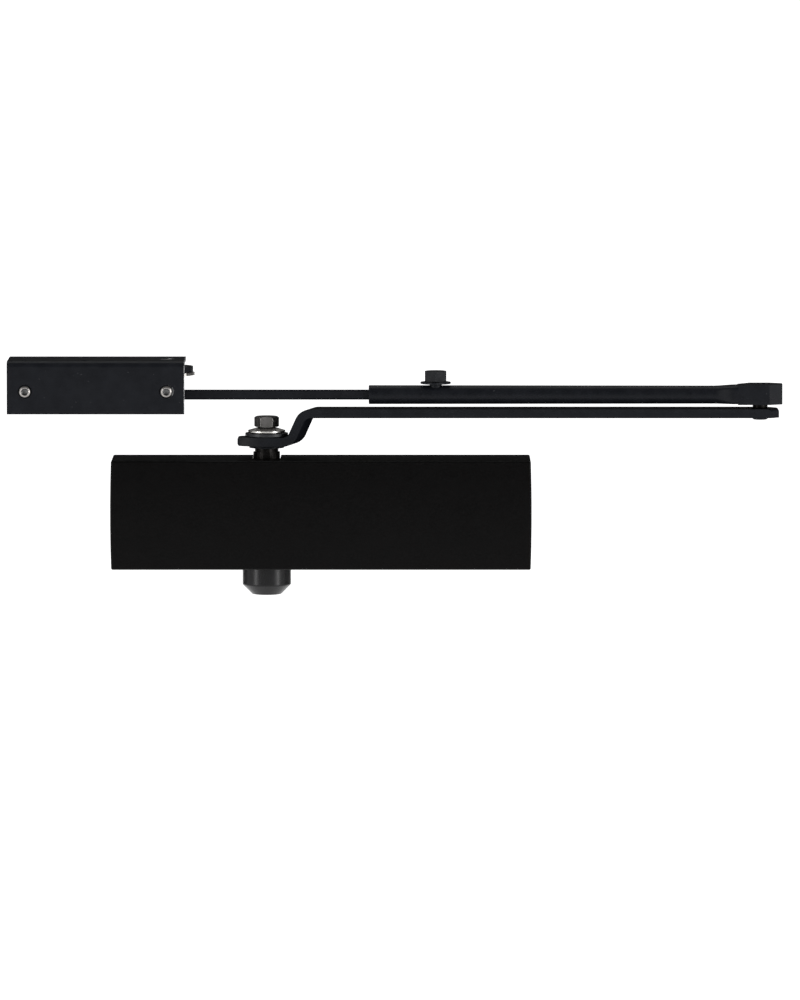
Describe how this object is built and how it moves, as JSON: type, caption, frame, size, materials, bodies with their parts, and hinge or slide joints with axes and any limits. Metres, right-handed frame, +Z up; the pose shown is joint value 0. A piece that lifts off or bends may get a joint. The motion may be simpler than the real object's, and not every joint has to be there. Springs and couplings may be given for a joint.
{
  "type": "overhead door closer",
  "caption": "Covered rack-and-pinion door closer with a cranked main arm, a telescoping forearm and a hold-open soffit bracket.",
  "frame": {"origin": "the spindle's axis projected onto the casing's door face, at the middle of the casing's height", "axes": "+X along the closer towards the elbow, +Y into the door, +Z up along the spindle"},
  "size_m": [0.4328, 0.046, 0.1319],
  "materials": {
    "cover_black": "fine matt black",
    "arm_black": "satin black, slightly blue, fine grain",
    "cap_black": "satin black moulding",
    "cast_grey": "die-cast grey",
    "steel": "machined steel",
    "blackened_steel": "phosphated and oiled steel",
    "zinc": "bright zinc plate",
    "bronze": "sintered bronze",
    "brass": "turned brass",
    "rubber": "moulded rubber"
  },
  "bodies": {
    "casing": {"casing": "cast_grey", "end_plug_left": "steel", "end_plug_left_seal": "rubber", "end_plug_right": "steel", "end_plug_right_seal": "rubber", "upper_bearing_bush": "bronze", "lower_bearing_bush": "bronze", "upper_shaft_seal": "rubber", "lower_shaft_seal": "rubber", "upper_bearing_nut": "blackened_steel", "lower_bearing_nut": "steel", "outer_closing_spring": "steel", "inner_closing_spring": "steel"},
    "cover": {"front_cover": "cover_black"},
    "cap": {"pinion_cap": "cap_black"},
    "closing_valve": {"closing_speed_valve": "brass", "closing_valve_seal": "rubber"},
    "latching_valve": {"latching_speed_valve": "brass", "latching_valve_seal": "rubber"},
    "piston": {"piston": "steel", "check_valve_ball": "steel", "check_valve_retainer": "brass"},
    "spindle": {"pinion_shaft": "blackened_steel", "main_arm": "arm_black", "shoulder_disc": "arm_black", "arm_flat_washer": "arm_black", "arm_spring_washer": "zinc", "arm_bolt": "zinc"},
    "forearm": {"forearm_tube": "arm_black", "forearm_end": "arm_black", "elbow_pin": "arm_black", "elbow_spacer": "blackened_steel"},
    "clamp": {"clamp_bolt": "arm_black", "clamp_washer": "arm_black"},
    "rod": {"adjusting_rod": "arm_black", "cam_washer": "zinc", "hold_open_cam": "arm_black"},
    "bracket": {"bracket_housing": "arm_black", "hold_open_frame": "steel", "bracket_rivet_left": "zinc", "bracket_rivet_right": "zinc", "pivot_pin": "steel", "pivot_washer": "bronze", "plunger_guide": "steel", "hold_open_spring": "steel"},
    "plunger": {"plunger": "steel", "roller_pin": "steel"},
    "roller": {"hold_open_roller": "steel"},
    "adjuster": {"hold_open_adjuster": "steel"}
  },
  "joints": [
    {"name": "spindle_turn", "type": "hinge", "parent": "casing", "child": "spindle", "pos_m": [0, -0.022, 0], "axis": [0, 0, 1], "range_deg": [-150, 0], "stiffness_Nm_per_rad": 6, "springref_deg": 20.05},
    {"name": "piston_slide", "type": "slide", "parent": "casing", "child": "piston", "axis": [1, 0, 0], "range_m": [0, 0.0211], "deforming": ["outer_closing_spring", "inner_closing_spring"]},
    {"name": "cover_pull", "type": "slide", "parent": "casing", "child": "cover", "axis": [0, -1, 0], "range_m": [0, 0.06]},
    {"name": "cap_pull", "type": "slide", "parent": "casing", "child": "cap", "axis": [0, 0, -1], "range_m": [0, 0.02]},
    {"name": "closing_valve_turn", "type": "hinge", "parent": "casing", "child": "closing_valve", "pos_m": [-0.052, -0.036, -0.021], "axis": [0, 1, 0], "range_deg": [-360, 180]},
    {"name": "latching_valve_turn", "type": "hinge", "parent": "casing", "child": "latching_valve", "pos_m": [-0.032, -0.036, -0.021], "axis": [0, 1, 0], "range_deg": [-360, 180]},
    {"name": "elbow_turn", "type": "hinge", "parent": "spindle", "child": "forearm", "pos_m": [0.276, -0.022, 0], "axis": [0, 0, 1], "range_deg": [-170, 170]},
    {"name": "clamp_bolt_turn", "type": "hinge", "parent": "forearm", "child": "clamp", "pos_m": [0.0945, -0.022, 0.072], "axis": [0, 0, 1], "range_deg": [0, 360]},
    {"name": "rod_slide", "type": "slide", "parent": "forearm", "child": "rod", "axis": [-1, 0, 0], "range_m": [-0.02, 0.03]},
    {"name": "bracket_swing", "type": "hinge", "parent": "rod", "child": "bracket", "pos_m": [-0.056, -0.022, 0.07], "axis": [0, 0, 1], "range_deg": [-120, 38]},
    {"name": "plunger_slide", "type": "slide", "parent": "bracket", "child": "plunger", "axis": [1, 0, 0], "range_m": [-0.002, 0], "stiffness_N_per_m": 8000, "springref_m": 0.001, "deforming": ["hold_open_spring"]},
    {"name": "roller_spin", "type": "hinge", "parent": "plunger", "child": "roller", "pos_m": [-0.07565, -0.022, 0.08035], "axis": [0, 0, 1], "range_deg": [-405, 132]},
    {"name": "adjuster_turn", "type": "hinge", "parent": "bracket", "child": "adjuster", "pos_m": [-0.14, -0.022, 0.08035], "axis": [1, 0, 0], "range_deg": [-360, 360]}
  ],
  "couplings": [
    {"joint": "piston_slide", "follows": "spindle_turn", "m_per_rad": -0.008},
    {"joint": "roller_spin", "follows": "bracket_swing", "ratio": 3.3333}
  ]
}
